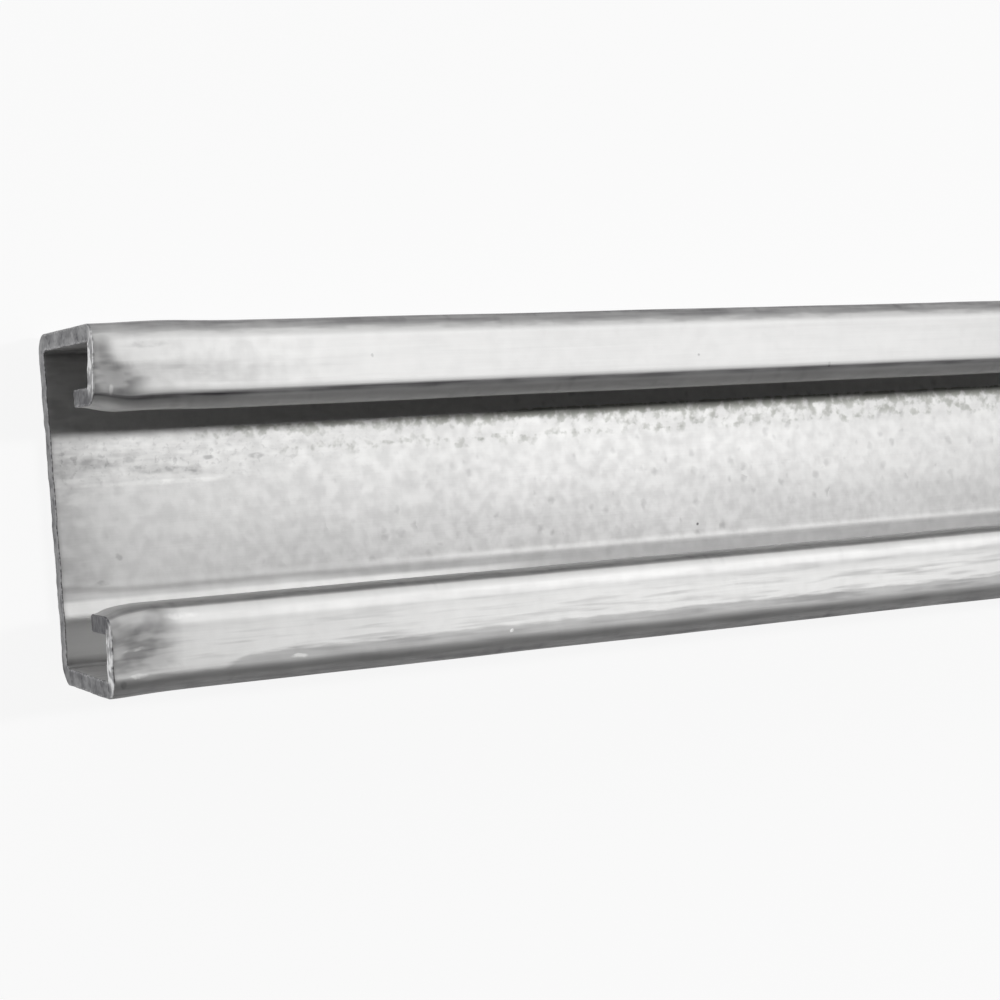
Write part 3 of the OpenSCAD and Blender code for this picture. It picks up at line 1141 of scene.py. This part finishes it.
def add_floor():
    """A pale floor that camera and mirror rays see as nearly white, with the object's shadow kept."""
    half = FLOOR_SIZE / 2
    mesh = bpy.data.meshes.new("floor")
    corners = [(-half, -half, 0), (half, -half, 0), (half, half, 0), (-half, half, 0)]
    mesh.from_pydata(corners, [], [(0, 1, 2, 3)])
    material, nodes = new_material("pale_floor")
    path = nodes.add("LightPath").outputs
    seen = nodes.math("MAXIMUM", path["Is Camera Ray"], path["Is Glossy Ray"])
    seen = nodes.math("MAXIMUM", seen, path["Is Transmission Ray"])
    share = nodes.math("MULTIPLY", seen, FLOOR_WHITE_SHARE)
    paint = nodes.add("BsdfDiffuse", {"Color": FLOOR_COLOUR})
    white = nodes.add("Emission", {"Strength": 1.0})
    mixed = nodes.add("MixShader", {0: share, 1: paint.outputs[0], 2: white.outputs[0]})
    nodes.add("OutputMaterial", {"Surface": mixed.outputs[0]})
    mesh.materials.append(material)
    place_object("floor", mesh)


def add_lights():
    """One key lamp over the slot, long along the channel, and a pale sky that is dark overhead."""
    data = bpy.data.lights.new("key", "AREA")
    data.shape = "RECTANGLE"
    data.size = KEY_LENGTH
    data.size_y = KEY_WIDTH
    data.energy = KEY_POWER
    lamp = place_object("key", data)
    side = Vector((0, 1, 0)).cross(KEY_TOWARDS).normalized()
    turn = Matrix((side, KEY_TOWARDS.cross(side), KEY_TOWARDS)).transposed().to_4x4()
    lamp.matrix_world = Matrix.Translation(KEY_AIM + KEY_TOWARDS * KEY_DISTANCE) @ turn
    world = bpy.data.worlds.new("studio")
    world.use_nodes = True
    bpy.context.scene.world = world
    nodes = Nodes(world.node_tree)
    direction = nodes.add("TexCoord").outputs["Generated"]
    overhead = nodes.add("VectorMath", {0: direction, 1: SKY_DARK_TOWARDS}, operation="DOT_PRODUCT")
    wide, narrow = SKY_DARK_WIDTH
    to_side = nodes.add("SeparateXYZ", {0: direction}).outputs["Y"]
    pale = nodes.ramp(to_side, *SKY_SIDE_RANGE, SKY_PALE, SKY_PALE + SKY_SIDE)
    uncovered = nodes.ramp(overhead.outputs["Value"], math.cos(wide), math.cos(narrow), 1.0, 0.0)
    level = nodes.product(pale, uncovered)
    sky = nodes.add("Background", {"Color": (1, 1, 1, 1), "Strength": level})
    nodes.add("OutputWorld", {"Surface": sky.outputs[0]})


# The camera, fitted to the edges of the channel in the photograph
CAMERA_AT = Vector((LOW.x + NEAR_LAG - 66.8 * MM, 5.4 * MM, CHANNEL_D + 219.8 * MM))
CAMERA_TURN = math.radians(27.77)
CAMERA_DROP = math.radians(-1.69)
CAMERA_ROLL = math.radians(-3.25)
CAMERA_LENS = 74.4
CAMERA_SENSOR = 36


def add_camera():
    """Turns the camera from straight down towards the far end, then drops and rolls it."""
    forward = Vector(
        (
            math.sin(CAMERA_TURN) * math.cos(CAMERA_DROP),
            math.sin(CAMERA_DROP),
            -math.cos(CAMERA_TURN) * math.cos(CAMERA_DROP),
        )
    )
    level = Vector((math.cos(CAMERA_TURN), 0, math.sin(CAMERA_TURN)))
    upright = level.cross(forward)
    right = math.cos(CAMERA_ROLL) * level + math.sin(CAMERA_ROLL) * upright
    up = math.cos(CAMERA_ROLL) * upright - math.sin(CAMERA_ROLL) * level
    data = bpy.data.cameras.new("camera")
    data.lens = CAMERA_LENS
    data.sensor_width = CAMERA_SENSOR
    data.clip_start = 10 * MM
    camera = place_object("camera", data)
    turn = Matrix((right, up, -forward)).transposed().to_4x4()
    camera.matrix_world = Matrix.Translation(CAMERA_AT) @ turn
    bpy.context.scene.camera = camera


add_floor()
add_lights()
add_camera()
bpy.context.scene.view_settings.view_transform = "Standard"
